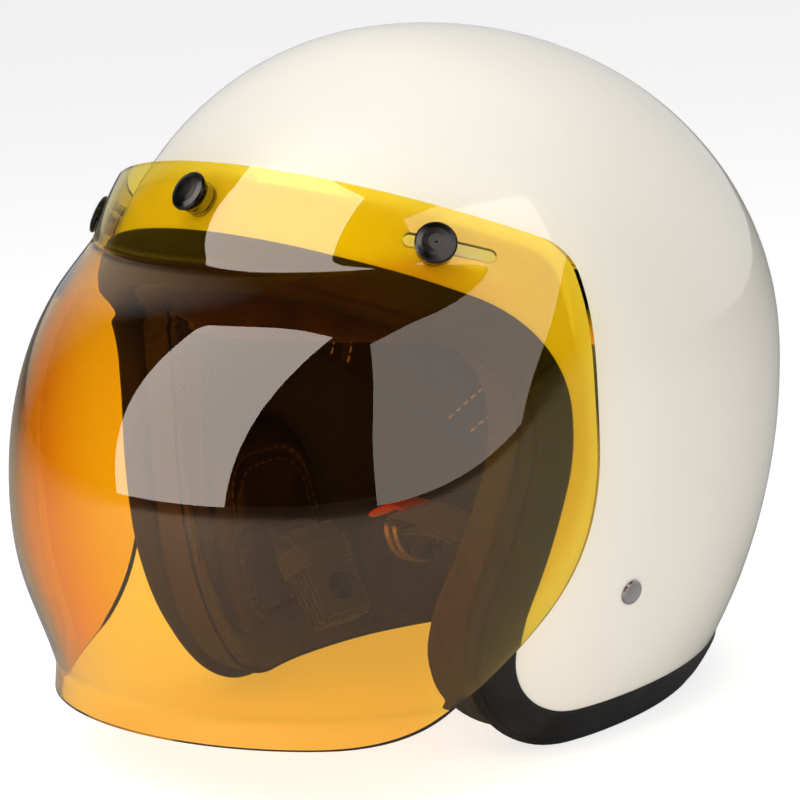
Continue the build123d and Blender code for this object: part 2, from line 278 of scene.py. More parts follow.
def vary(material, scale, colours, socket="Base Color", detail=3.0, stretch=(1, 1, 1)):
    """Soft noise between two values or colours on a shader socket."""
    place = node(material, "ShaderNodeMapping", in_Scale=stretch)
    wire(material, coordinates(material), "Object", place, "Vector")
    noise = node(material, "ShaderNodeTexNoise", in_Scale=scale, in_Detail=detail)
    wire(material, place, "Vector", noise, "Vector")
    ramp = node(material, "ShaderNodeValToRGB")
    ramp.color_ramp.elements[0].position = 0.35
    ramp.color_ramp.elements[1].position = 0.65
    for element, colour in zip(ramp.color_ramp.elements, colours):
        element.color = (*colour, 1) if isinstance(colour, tuple) else (colour,) * 3 + (1,)
    wire(material, noise, "Fac", ramp, "Fac")
    wire(material, ramp, "Color", shader_of(material), socket)
    return noise


def paint_material():
    """Gloss ivory lacquer: faint orange peel under a clear coat."""
    made = new_material("paint_ivory", Roughness=0.35, Coat_Weight=1.0, Coat_Roughness=0.04)
    vary(made, 9.0, ((0.785, 0.742, 0.648), (0.815, 0.772, 0.678)))
    peel = node(made, "ShaderNodeTexNoise", in_Scale=260.0, in_Detail=2.0)
    wire(made, coordinates(made), "Object", peel, "Vector")
    bump(made, peel, "Fac", 0.05, 0.0004)
    return made


def rubber_material():
    """Black moulded rubber with a fine matt skin."""
    made = new_material("rubber_black", Roughness=0.5, Specular_IOR_Level=0.25)
    vary(made, 40.0, ((0.008, 0.008, 0.009), (0.016, 0.016, 0.017)))
    skin = node(made, "ShaderNodeTexNoise", in_Scale=900.0, in_Detail=3.0)
    wire(made, coordinates(made), "Object", skin, "Vector")
    bump(made, skin, "Fac", 0.25, 0.0003)
    return made


def leather_material():
    """Dark brown leatherette: pebbled grain, softly creased, a little shine."""
    made = new_material("leatherette_brown", Roughness=0.42, Specular_IOR_Level=0.45)
    vary(made, 55.0, ((0.013, 0.0075, 0.0045), (0.030, 0.017, 0.010)))
    grain = node(made, "ShaderNodeTexVoronoi", in_Scale=780.0, feature="DISTANCE_TO_EDGE")
    wire(made, coordinates(made), "Object", grain, "Vector")
    crease = node(made, "ShaderNodeTexNoise", in_Scale=75.0, in_Detail=4.0)
    wire(made, coordinates(made), "Object", crease, "Vector")
    fine = node(made, "ShaderNodeBump", in_Strength=0.35, in_Distance=0.0006)
    wire(made, grain, "Distance", fine, "Height")
    broad = node(made, "ShaderNodeBump", in_Strength=0.35, in_Distance=0.002)
    wire(made, crease, "Fac", broad, "Height")
    wire(made, fine, "Normal", broad, "Normal")
    wire(made, broad, "Normal", shader_of(made), "Normal")
    return made


def weave_material(name, dark, light, scale, sheen=0.2, bumpiness=0.5):
    """Woven cloth: crossed threads at a thread spacing of about 1 / scale metres."""
    made = new_material(name, Roughness=0.85, Sheen_Weight=sheen)
    place = coordinates(made)
    along = node(made, "ShaderNodeTexWave", in_Scale=scale, bands_direction="Y")
    across = node(made, "ShaderNodeTexWave", in_Scale=scale, bands_direction="DIAGONAL")
    for wave in (along, across):
        wire(made, place, "Object", wave, "Vector")
    threads = node(made, "ShaderNodeMath", operation="MULTIPLY")
    wire(made, along, "Fac", threads, 0)
    wire(made, across, "Fac", threads, 1)
    ramp = node(made, "ShaderNodeValToRGB")
    ramp.color_ramp.elements[0].color = (*dark, 1)
    ramp.color_ramp.elements[1].color = (*light, 1)
    wire(made, threads, 0, ramp, "Fac")
    wire(made, ramp, "Color", shader_of(made), "Base Color")
    bump(made, threads, 0, bumpiness, 0.0004)
    return made


def metal_material(name, colour, roughness, grain=0.12):
    """Polished metal with faint turning marks and uneven polish."""
    made = new_material(name, Metallic=1.0, Base_Color=(*colour, 1))
    vary(made, 180.0, (roughness * 0.75, roughness * 1.35), "Roughness")
    marks = node(made, "ShaderNodeTexNoise", in_Scale=700.0, in_Detail=2.0)
    wire(made, coordinates(made), "Object", marks, "Vector")
    bump(made, marks, "Fac", grain, 0.0002)
    return made


# Painted light: the amber and the tint of lamps through it are painted lighter up into the band and back
# along the sides, where the visor lies over the lit shell.
PAINTED_LIGHT_EASE = (("Z", 0.182, 0.192), ("Y", -0.105, -0.055))
DEEP_AMBER, PAINTED_LIGHT_AMBER = (0.97, 0.48, 0.04, 1), (1.0, 0.76, 0.05, 1)
DEEP_SHADE, PAINTED_LIGHT_SHADOW_TINT = (0.94, 0.72, 0.26, 1), (1.0, 0.95, 0.20, 1)


def visor_material():
    """Clear amber polycarbonate, deepest in the bubble, with painted light: lighter in the band and along the
    sides, over the lit shell. Lamps reach through it, tinted.
    """
    made = new_material(
        "polycarbonate_amber", Roughness=0.0, IOR=1.585, Transmission_Weight=1.0
    )
    split = node(made, "ShaderNodeSeparateXYZ")
    wire(made, coordinates(made), "Object", split, "Vector")
    # Painted light: a share from 0 in the bubble to 1 in the band and along the sides, which lightens the
    # amber over the lit shell.
    painted_light_share = node(made, "ShaderNodeMath", operation="MAXIMUM")
    for k, (axis, deep, light) in enumerate(PAINTED_LIGHT_EASE):
        ease = node(made, "ShaderNodeMapRange", interpolation_type="SMOOTHSTEP")
        ease.inputs["From Min"].default_value = deep
        ease.inputs["From Max"].default_value = light
        wire(made, split, axis, ease, "Value")
        made.node_tree.links.new(ease.outputs[0], painted_light_share.inputs[k])
    clear = node(made, "ShaderNodeBsdfTransparent")
    # The amber and the lamps' shadow tint both move towards their painted-light values by this share.
    for colours, entry in (
        ((DEEP_AMBER, PAINTED_LIGHT_AMBER), shader_of(made).inputs["Base Color"]),
        ((DEEP_SHADE, PAINTED_LIGHT_SHADOW_TINT), clear.inputs["Color"]),
    ):
        blend = node(made, "ShaderNodeMix", data_type="RGBA")
        blend.inputs[6].default_value, blend.inputs[7].default_value = colours
        made.node_tree.links.new(painted_light_share.outputs[0], blend.inputs[0])
        made.node_tree.links.new(blend.outputs[2], entry)
    rays = node(made, "ShaderNodeLightPath")
    either = node(made, "ShaderNodeMixShader")
    wire(made, rays, "Is Shadow Ray", either, "Fac")
    made.node_tree.links.new(shader_of(made).outputs[0], either.inputs[1])
    made.node_tree.links.new(clear.outputs[0], either.inputs[2])
    output = made.node_tree.nodes["Material Output"]
    made.node_tree.links.new(either.outputs[0], output.inputs["Surface"])
    return made


def thread_material(name, dark, light):
    """Waxed sewing thread with its twist."""
    made = new_material(name, Roughness=0.45, Sheen_Weight=0.2)
    vary(made, 900.0, (dark, light))
    twist = node(made, "ShaderNodeTexWave", in_Scale=900.0, bands_direction="DIAGONAL")
    wire(made, coordinates(made), "Object", twist, "Vector")
    bump(made, twist, "Fac", 0.5, 0.0002)
    return made


def foam_material():
    """Black expanded foam: packed beads."""
    made = new_material("foam_black", Roughness=0.9)
    beads = node(made, "ShaderNodeTexVoronoi", in_Scale=330.0)
    wire(made, coordinates(made), "Object", beads, "Vector")
    ramp = node(made, "ShaderNodeValToRGB")
    ramp.color_ramp.elements[0].color = (0.03, 0.03, 0.03, 1)
    ramp.color_ramp.elements[1].color = (0.008, 0.008, 0.008, 1)
    wire(made, beads, "Distance", ramp, "Fac")
    wire(made, ramp, "Color", shader_of(made), "Base Color")
    bump(made, beads, "Distance", -0.5, 0.001)
    return made


paint = paint_material()
rubber = rubber_material()
leather = leather_material()
liner_cloth = weave_material("liner_cloth", (0.010, 0.007, 0.005), (0.035, 0.024, 0.017), 500.0)
webbing_cloth = weave_material("webbing_black", (0.004, 0.004, 0.005), (0.03, 0.03, 0.032), 420.0)
tab_cloth = weave_material("tab_red", (0.42, 0.012, 0.008), (0.80, 0.04, 0.02), 420.0)
elastic_cloth = weave_material("elastic_black", (0.006, 0.006, 0.006), (0.03, 0.03, 0.03), 300.0)
gunmetal = metal_material("gunmetal", (0.036, 0.036, 0.038), 0.26)
steel = metal_material("steel_bright", (0.56, 0.53, 0.55), 0.22)
brass = metal_material("spring_brass", (0.72, 0.48, 0.20), 0.25)
amber = visor_material()
thread = thread_material("thread_gold", (0.78, 0.50, 0.16), (1.0, 0.78, 0.38))
dark_thread = thread_material("thread_brown", (0.02, 0.013, 0.01), (0.07, 0.045, 0.03))
foam = foam_material()

FINISHES = {
    "outer_shell": paint,
    "eps_liner": foam,
    "snap_studs": steel,
    "stud_washers": steel,
    "snap_socket_centre": steel,
    "snap_sockets_side": steel,
    "socket_spring_centre": brass,
    "socket_springs_side": brass,
    "snap_caps": gunmetal,
    "visor": amber,
    "strap_rivets": steel,
    "strap_hangers": steel,
    "d_ring_inner": steel,
    "d_ring_outer": steel,
    "strap_snap": gunmetal,
    "edge_trim": rubber,
    "edge_lining": leather,
    "crown_liner": liner_cloth,
    "headband_pad": leather,
    "neck_roll": leather,
    "cheek_pad_left": leather,
    "cheek_pad_right": leather,
    "strap_root_left": webbing_cloth,
    "strap_root_right": webbing_cloth,
    "chin_strap_left": webbing_cloth,
    "chin_strap_right": webbing_cloth,
    "pull_tab": tab_cloth,
    "strap_keeper": elastic_cloth,
}
for name, finish in FINISHES.items():
    slots = nodes[name].material_slots
    for entry in slots:
        entry.material = finish


# ---------------------------------------------------------------- edge trim
TRIM_PROFILE = [
    (0.9, 0.2), (0.0, 0.1), (0.0, -1.0), (1.0, -1.6), (4.0, -1.8), (10.5, -1.8), (13.2, -1.4),
    (14.2, -0.1), (15.2, -1.0), (17.0, -0.2), (18.6, 2.5), (18.8, 6.5), (17.6, 10.0), (14.5, 12.2),
    (10.4, 12.2), (10.3, 6.0), (10.2, 0.2),
]
trim = edge_sweep("trim_moulding", TRIM_PROFILE, 0.0, rubber, "helmet")
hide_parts("edge_trim")

LINING_PROFILE = [
    (10.4, 12.5), (13.8, 12.6), (15.4, 15.0), (15.8, 20.0), (15.2, 26.0), (13.6, 31.5),
    (11.5, 34.0), (10.0, 33.0), (10.2, 22.0),
]
lining = edge_sweep("lining_roll", LINING_PROFILE, 1.2 * MM, leather, "helmet")
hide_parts("edge_lining")


# ---------------------------------------------------------------- padded pieces
def rounded_outline(points, radius, count):
    """Closed outline with rounded corners, as evenly spaced 2-D points."""
    points = [Vector(p) for p in points]
    middle = (points[0] + points[-1]) / 2
    path = rounded_path([middle, *points, middle], [radius] * len(points))
    return resampled(path, count)[:-1]


def crown_profile(r):
    """Height of a stuffed pad, 1 in the middle and 0 at its edge, by fraction of reach."""
    return math.sqrt(1 - min(r, 1.0) ** 6) * (0.84 + 0.16 * (1 - r * r))


def channel(r, channels):
    """Depth of the sewn channels at a fraction of reach."""
    return sum(depth * math.exp(-(((r - at) / width) ** 2)) for at, width, depth in channels)


def pillow(name, outline, place, base, thickness, material, channels=(), rings=44):
    """Stuffed pad on the form: flat back at the base inset, crowned towards the head."""
    centre = sum(outline, Vector((0, 0))) / len(outline)
    size = len(outline)
    points, faces = [], []
    front = [math.cos(math.pi / 2 * i / rings) for i in range(rings)]
    for r in front:
        rise = thickness * crown_profile(r) - channel(r, channels)
        for q in outline:
            points.append(place(centre + (q - centre) * r, base + max(rise, 0.0)))
    for i in range(len(front) - 1):
        for j in range(size):
            k = (j + 1) % size
            faces.append((i * size + j, i * size + k, (i + 1) * size + k, (i + 1) * size + j))
    points.append(place(centre, base + thickness))
    top = len(points) - 1
    last = (len(front) - 1) * size
    faces += [(last + j, last + (j + 1) % size, top) for j in range(size)]
    start = len(points)
    backs = (0.85, 0.6, 0.3)
    for r in backs:
        points += [place(centre + (q - centre) * r, base) for q in outline]
    for j in range(size):
        k = (j + 1) % size
        faces.append((j, start + j, start + k, k))
        for i in range(len(backs) - 1):
            a, b = start + i * size, start + (i + 1) * size
            faces.append((a + j, b + j, b + k, a + k))
    points.append(place(centre, base))
    end = start + (len(backs) - 1) * size
    faces += [(end + (j + 1) % size, end + j, len(points) - 1) for j in range(size)]
    piece = link(mesh_of(name, points, faces), name, material, "helmet")
    return piece


STITCH = 3.4 * MM
STITCH_GAP = 0.9 * MM
THREAD = 0.5 * MM


def surface_of(piece):
    """Ray target for the shape that a piece has now."""
    mesh = piece.data
    return BVHTree.FromPolygons(
        [v.co for v in mesh.vertices], [tuple(f.vertices) for f in mesh.polygons]
    )


def seated(path, target, lift=0.0):
    """The path laid onto the inner side of a surface, as (point, inward normal) pairs."""
    pairs = []
    for p in path:
        inwards = -form_normal(p)
        hit, normal, _, _ = target.ray_cast(p + inwards * 30 * MM, -inwards)
        if hit is None:
            continue
        if normal.dot(inwards) < 0:
            normal = -normal
        pairs.append((hit + normal * lift, normal))
    return pairs


def stitches(name, rows, target_piece, finish):
    """One mesh of sewn stitches along paths laid on a padded piece."""
    target = surface_of(target_piece)
    points, faces = [], []
    sides, steps = 6, 4
    for path in rows:
        length = sum((b - a).length for a, b in zip(path, path[1:]))
        count = max(1, round(length / (STITCH + STITCH_GAP)))
        fine = seated(resampled(path, count * (steps + 1)), target)
        for i in range(count):
            run = fine[i * (steps + 1) : i * (steps + 1) + steps + 1]
            if len(run) < steps + 1:
                continue
            start = len(points)
            for k, (p, normal) in enumerate(run):
                ahead = (run[min(k + 1, steps)][0] - run[max(k - 1, 0)][0]).normalized()
                across = ahead.cross(normal).normalized()
                arch = math.sin(math.pi * k / steps)
                radius = THREAD * (0.45 + 0.55 * arch)
                centre = p + normal * (THREAD * (1.1 * arch - 0.5))
                for j in range(sides):
                    a = 2 * math.pi * j / sides
                    points.append(
                        centre + across * radius * math.cos(a) + normal * radius * math.sin(a)
                    )
            for k in range(steps):
                for j in range(sides):
                    m = (j + 1) % sides
                    a, b = start + k * sides, start + (k + 1) * sides
                    faces.append((a + j, a + m, b + m, b + j))
            faces.append(tuple(start + j for j in range(sides)))
            faces.append(tuple(start + steps * sides + j for j in range(sides)))
    return link(mesh_of(name, points, faces), name, finish, "helmet")


PAD_BACK = 28.4  # inset of every pad's back, in millimetres

cheek_outline = rounded_outline(
    ((-0.051, 0.019), (-0.039, 0.103), (0.017, 0.103), (0.029, 0.019)), 0.020, 120
)
CHEEK_CHANNEL = 0.70
for side, word in ((1, "left"), (-1, "right")):

    def cheek_place(p, inset, side=side):
        a, b, c = semi_axes(Vector((0, p.x, p.y)), inset * MM)
        rest = 1 - (p.x / b) ** 2 - ((p.y - EQUATOR) / c) ** 2
        return Vector((side * a * math.sqrt(rest), p.x, p.y))

    cheek = pillow(
        f"cheek_cushion_{word}", cheek_outline, cheek_place, PAD_BACK, 17.4, leather,
        channels=((CHEEK_CHANNEL, 0.035, 2.6), (0.99, 0.02, 1.0)),
    )
    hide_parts(f"cheek_pad_{word}")
    centre = sum(cheek_outline, Vector((0, 0))) / len(cheek_outline)
    rows = []
    for r in (CHEEK_CHANNEL - 0.055, CHEEK_CHANNEL + 0.055):
        loop = [cheek_place(centre + (q - centre) * r, PAD_BACK + 17) for q in cheek_outline]
        rows.append(loop + loop[:1])
    stitches(f"cheek_stitching_{word}", rows, cheek, dark_thread)

NECK_RADIUS = 0.10


def neck_place(p, inset):
    return at_angle(math.pi + p.x / NECK_RADIUS, p.y, inset * MM)


neck_outline = rounded_outline(
    ((-0.112, 0.010), (-0.108, 0.056), (0.108, 0.056), (0.112, 0.010)), 0.012, 220
)
neck = pillow("neck_cushion", neck_outline, neck_place, PAD_BACK, 13.4, leather,
              channels=((0.62, 0.03, 1.8),))
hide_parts("neck_roll")
neck_row = [neck_place(Vector((x * MM, 0.050)), PAD_BACK + 13) for x in range(-98, 99, 2)]
stitches("neck_stitching", [neck_row], neck, dark_thread)


# ---------------------------------------------------------------- headband
BAND_HEIGHT = 0.037
SEAMS = ((67, 0.0), (93, 1.0), (118, 1.5), (151, 6.0))
SEAM_HALF = 3.7 * MM


def band_low(y):
    """Height of the headband's lower edge at a distance behind the centre."""
    return max(0.068, 0.139 - 0.42 * y - 2.6 * y * y)


def band_point(azimuth, v, inset):
    """Point of the headband: v from -1 at its lower edge to 1 at its upper edge."""
    height = 0.14
    for _ in range(12):
        y = at_angle(azimuth, height, inset * MM).y
        height = band_low(y) + BAND_HEIGHT * (v + 1) / 2
    return at_angle(azimuth, height, inset * MM)


def seam_gap(azimuth, v):
    """Distance along the band to its nearest seam."""
    gaps = []
    for angle, slant in SEAMS:
        for side in (1, -1):
            seam = side * math.radians(angle + slant * v)
            turn = (azimuth - seam + math.pi) % (2 * math.pi) - math.pi
            gaps.append(abs(turn) * 0.09)
    return min(gaps)


def headband():
    profile = [
        (-0.90, 28.3), (-1.0, 29.0), (-1.0, 32.0), (-0.86, 35.0), (-0.5, 36.6), (-0.25, 37.0),
        (0.25, 37.0), (0.5, 36.6), (0.86, 35.0), (1.0, 32.0), (1.0, 29.0), (0.90, 28.3), (0.0, 28.3),
    ]
    profile = smoothed(profile)
    rows, count = [], 480
    for i in range(count):
        azimuth = 2 * math.pi * i / count
        row = []
        for v, inset in profile:
            pinch = 2.2 * math.exp(-((seam_gap(azimuth, v) / (1.6 * MM)) ** 2))
            row.append(band_point(azimuth, v, inset - pinch * max(0.0, inset - 30) / 7))
        rows.append(row)
    piece = swept("headband_cushion", rows, leather, "helmet")
    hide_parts("headband_pad")
    sewn = []
    for angle, slant in SEAMS:
        for side in (1, -1):
            for shift in (-SEAM_HALF, SEAM_HALF):
                path = []
                for k in range(21):
                    v = -0.92 + 1.84 * k / 20
                    seam = side * math.radians(angle + slant * v) + shift / 0.09
                    path.append(band_point(seam, v, 37))
                sewn.append(path)
    stitches("headband_stitching", sewn, piece, thread)


headband()


# ---------------------------------------------------------------- crown liner
def side_prism(name, reach):
    """Cutter over everything behind the opening's edge, moved out by reach."""
    path = rounded_path(EDGE_POINTS, EDGE_RADII)
    moved = []
    for i, p in enumerate(path):
        ahead = (path[min(i + 1, len(path) - 1)] - path[max(i - 1, 0)]).normalized()
        moved.append(p + Vector((-ahead.y, ahead.x)) * -reach)
    outline = moved + [Vector((0.205, 0.5)), Vector((-0.14, 0.5))]
    return prism(name, outline, -0.2, 0.2, lambda p, d: Vector((d, p.x, p.y)))


GORES = 6


def crown_liner():
    """Quilted lining cloth over the whole inside, with sewn gores up to the crown."""
    points, faces = [], []
    columns, lines = 144, 72
    for shell_side in (0, 1):
        for i in range(1, lines):
            polar = math.pi * i / lines - math.pi / 2
            for j in range(columns):
                azimuth = 2 * math.pi * j / columns
                inset = 24.6
                if shell_side:
                    puff = abs(math.sin(GORES / 2 * azimuth)) ** 0.5 * math.cos(polar) ** 0.5
                    inset = 25.9 + 2.4 * puff
                way = Vector((
                    math.cos(polar) * math.sin(azimuth),
                    -math.cos(polar) * math.cos(azimuth),
                    math.sin(polar),
                ))
                points.append(on_form(CENTRE + way * 0.1, inset * MM))
    rings = lines - 1
    for shell_side in (0, 1):
        first = shell_side * rings * columns
        for i in range(rings - 1):
            for j in range(columns):
                k = (j + 1) % columns
                a, b = first + i * columns, first + (i + 1) * columns
                faces.append((a + j, a + k, b + k, b + j))
        faces.append(tuple(first + j for j in range(columns)))
        faces.append(tuple(first + (rings - 1) * columns + j for j in range(columns)))
    mesh = bpy.data.meshes.new("crown_lining")
    mesh.from_pydata([tuple(p) for p in points], [], faces)
    work = bmesh.new()
    work.from_mesh(mesh)
    bmesh.ops.recalc_face_normals(work, faces=work.faces)
    inner = [f for f in work.faces if f.verts[0].index >= rings * columns]
    for face in inner:
        if face.normal.dot(face.calc_center_median() - CENTRE) > 0:
            face.normal_flip()
    work.to_mesh(mesh)
    work.free()
    piece = link(mesh, "crown_lining", liner_cloth, "helmet")
    carve(piece, side_prism("crown_cutter", 8 * MM), "INTERSECT")
    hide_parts("crown_liner")
    sewn = []
    for k in range(GORES):
        azimuth = 2 * math.pi * k / GORES
        for shift in (-2.6 * MM, 2.6 * MM):
            path = []
            for n in range(40):
                height = 0.118 + (CROWN - 0.029 + EQUATOR - 0.118) * math.sin(math.pi / 2 * n / 39)
                p = at_angle(azimuth, min(height, CROWN + EQUATOR - 0.0285), 26 * MM)
                across = Vector((math.cos(azimuth), math.sin(azimuth), 0))
                path.append(p + across * shift)
            sewn.append(path[:-2])
    stitches("crown_stitching", sewn, piece, dark_thread)


crown_liner()


# ---------------------------------------------------------------- chin strap
STRAP_Y = -7.0 * MM
STRAP_WIDTH = 25 * MM
STRAP_WALL = 2.2 * MM
HINGE = Vector((66.6 * MM, 60.5 * MM))
BAR = Vector((9.0 * MM, 73.0 * MM))
RING_PITCH = 4.6 * MM
LOOP_RADIUS = 1.75 * MM
FOLD_LEAN = math.radians(31)


def ribbon(name, path, width, wall, material, body, ribs=7, taper=None):
    """Woven strap along a path of (x, z) points, its width along Y, with raised ribs."""
    columns = ribs * 6
    count = len(path)
    points, faces = [], []
    for i, p in enumerate(path):
        ahead = (path[min(i + 1, count - 1)] - path[max(i - 1, 0)]).normalized()
        normal = Vector((-ahead.y, ahead.x))
        share = taper(i / (count - 1)) if taper else 1.0
        for side in (1, -1):
            for j in range(columns + 1):
                u = -1 + 2 * j / columns
                edge = math.sqrt(max(0.0, 1 - abs(u) ** 10))
                rib = 0.86 + 0.14 * abs(math.cos(math.pi * ribs * (u + 1) / 2))
                q = p + normal * (side * wall / 2 * edge * rib)
                points.append(Vector((q.x, STRAP_Y + u * width / 2 * share, q.y)))
    row = 2 * (columns + 1)
    for i in range(count - 1):
        a, b = i * row, (i + 1) * row
        for side in (0, columns + 1):
            for j in range(columns):
                faces.append((a + side + j, a + side + j + 1, b + side + j + 1, b + side + j))
    for end in (0, (count - 1) * row):
        for j in range(columns):
            faces.append((end + j, end + j + 1, end + columns + 2 + j, end + columns + 1 + j))
    mesh = mesh_of(name, points, faces)
    work = bmesh.new()
    work.from_mesh(mesh)
    bmesh.ops.remove_doubles(work, verts=work.verts, dist=0.02 * MM)
    bmesh.ops.recalc_face_normals(work, faces=work.faces)
    work.to_mesh(mesh)
    work.free()
    return link(mesh, name, material, body)


def curve_through(points, count):
    """Smooth open curve through 2-D points (Catmull-Rom)."""
    points = [Vector(p) for p in points]
    points = [points[0] * 2 - points[1], *points, points[-1] * 2 - points[-2]]
    path = []
    for a, b, c, d in zip(points, points[1:], points[2:], points[3:]):
        for k in range(12):
            t = k / 12
            path.append(
                0.5 * (2 * b + (c - a) * t + (2 * a - 5 * b + 4 * c - d) * t * t
                       + (3 * b - a - 3 * c + d) * t**3)
            )
    path.append(points[-2])
    return resampled(path, count)


def left_strap():
    """Short half: out of the cheek pad, over both D-ring bars and back under itself."""
    top = LOOP_RADIUS + STRAP_WALL / 2
    far_x = BAR.x - RING_PITCH
    path = curve_through(
        (
            (HINGE.x + 5 * MM, HINGE.y - 0.6 * MM), HINGE, (42 * MM, 70.2 * MM),
            (25 * MM, 73.6 * MM), (BAR.x + 3 * MM, BAR.y + top), (far_x, BAR.y + top),
        ),
        90,
    )
    turn = []
    for k in range(1, 13):
        a = math.pi / 2 + math.pi * k / 12
        turn.append(Vector((far_x + top * math.cos(a), BAR.y + top * math.sin(a))))
    back = curve_through(
        (turn[-1], (BAR.x + 2 * MM, BAR.y - top + 0.2 * MM), (25 * MM, 71.1 * MM), (36 * MM, 68.9 * MM)), 40
    )
    strap = ribbon(
        "strap_webbing_left", path + turn + back[1:], STRAP_WIDTH, STRAP_WALL, webbing_cloth, "left_strap"
    )
    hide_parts("chin_strap_left")

    def tongue(t):
        return 1.0 if t < 0.85 else math.sqrt(max(0.02, 1 - ((t - 0.85) / 0.15) ** 2 * 0.75))

    tab_path = curve_through(
        ((BAR.x - RING_PITCH + 1 * MM, BAR.y + 4.9 * MM), (-2 * MM, BAR.y + 5.0 * MM),
         (-9 * MM, BAR.y + 3.0 * MM), (-15 * MM, BAR.y - 0.8 * MM)),
        40,
    )
    tab = ribbon("pull_tab_webbing", tab_path, 16 * MM, 1.7 * MM, tab_cloth, "left_strap", 5, tongue)
    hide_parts("pull_tab")


def fold_point(x, z):
    """From the folded bundle's own axes to the helmet's (x, z), in metres."""
    cosine, sine = math.cos(FOLD_LEAN), math.sin(FOLD_LEAN)
    return Vector((-HINGE.x + (x * cosine - z * sine) * MM, HINGE.y + (x * sine + z * cosine) * MM))


def right_strap():
    """Long half folded flat into a bundle, held by its elastic keeper."""
    pitch, length, top, runs = 2.8, 44.0, 5.0, 5
    path = [fold_point(0, 0.7), fold_point(0, 0)]
    for run in range(runs):
        x, down = run * pitch, run % 2 == 0
        first, last = (-top - 1.4, -length + 1.4) if down else (-length + 1.4, -top - 1.4)
        if run == 0:
            first = -0.5
        for k in range(25):
            path.append(fold_point(x + 0.12 * math.sin(k), first + (last - first) * k / 24))
        if run < runs - 1:
            for k in range(1, 10):
                a = math.pi * k / 10
                sign = -1 if down else 1
                across = x + pitch / 2 * (1 - math.cos(a))
                path.append(fold_point(across, last + sign * 1.4 * math.sin(a)))
    strap = ribbon("strap_webbing_right", path, STRAP_WIDTH, 1.9 * MM, webbing_cloth, "right_strap")
    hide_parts("chin_strap_right")

    depth, drop, height, wall = (runs - 1) * pitch + 1.9, 16.0, 9.0, 1.1
    middle = (depth - 1.9) / 2
    deep, wide = depth / 2 + 0.3, 12.9
    corners = rounded_outline(
        ((-deep, -wide), (-deep, wide), (deep, wide), (deep, -wide)), 2.0, 120
    )
    rows = []
    for i, p in enumerate(corners):
        ahead = (corners[(i + 1) % len(corners)] - corners[i - 1]).normalized()
        out = Vector((-ahead.y, ahead.x))
        if out.dot(p) < 0:
            out = -out
        row = []
        for side, steps in ((1, range(19)), (0, range(18, -1, -1))):
            for k in steps:
                rib = 0.25 * abs(math.sin(math.pi * 6 * k / 18)) if side else 0.0
                q = p + out * (side * wall + rib * side)
                z = -drop + height * (k / 18 - 0.5)
                place = fold_point(middle + q.x, z)
                row.append(Vector((place.x, STRAP_Y + q.y * MM, place.y)))
        rows.append(row)
    keeper = swept("keeper_band", rows, elastic_cloth, "right_strap")
    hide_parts("strap_keeper")


def strap_roots():
    """The fixed ends of the webbing, from the hanger plates to the cheek pads' slits."""
    for side, word in ((1, "left"), (-1, "right")):
        path = [Vector((side * x * MM, HINGE.y)) for x in range(69, 104)]
        root = ribbon(f"root_webbing_{word}", path, STRAP_WIDTH, STRAP_WALL, webbing_cloth, "helmet")
        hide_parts(f"strap_root_{word}")


left_strap()
right_strap()
strap_roots()


# ---------------------------------------------------------------- visor
VISOR_GAP = 5.7
VISOR_WALL = 2.8
BAND_FOOT, BAND_TOP = 59, 106
TUCK, TUCK_TOP, TUCK_FOOT = 4.4, 86, 42
# Bubble sections in millimetres: height above the equator, centre ahead, half width, reach.
BUBBLE = (
    (40, 13.0, 121.8, 125.7),
    (12, 27.0, 123.0, 130.2),
    (-26, 41.0, 122.0, 123.7),
    (-60, 57.0, 115.6, 103.2),
    (-86, 74.0, 102.5, 76.5),
    (-95, 80.0, 97.5, 67.5),
)
LIP = (-107, 81.0, 98.6, 67.8)
VISOR_POINTS = ((-0.210, 0.023), (-0.032, 0.023), (-0.0314, 0.1879), (-0.210, 0.279))
VISOR_RADII = (0.095, 0.016)
SNAPS = ((0.0, 0.0788), (50.6, 0.0621), (-50.6, 0.0621))
SLOT_LENGTH, SLOT_WIDTH, SLOT_OFFSET, SLOT_TILT = 0.033, 0.005, 0.005, 16


def natural_spline(knots, values, places):
    """Natural cubic spline through values at ascending knots, at each place."""
    count = len(knots)
    gap = np.diff(knots)
    system, right = np.eye(count), np.zeros(count)
    for i in range(1, count - 1):
        system[i, i - 1 : i + 2] = gap[i - 1], 2 * (gap[i - 1] + gap[i]), gap[i]
        right[i] = 6 * (
            (values[i + 1] - values[i]) / gap[i] - (values[i] - values[i - 1]) / gap[i - 1]
        )
    bend = np.linalg.solve(system, right)
    spans = np.clip(np.searchsorted(knots, places) - 1, 0, count - 2)
    low, high = knots[spans + 1] - places, places - knots[spans]
    h = gap[spans]
    return (
        (bend[spans] * low**3 + bend[spans + 1] * high**3) / (6 * h)
        + (values[spans] / h - bend[spans] * h / 6) * low
        + (values[spans + 1] / h - bend[spans + 1] * h / 6) * high
    )


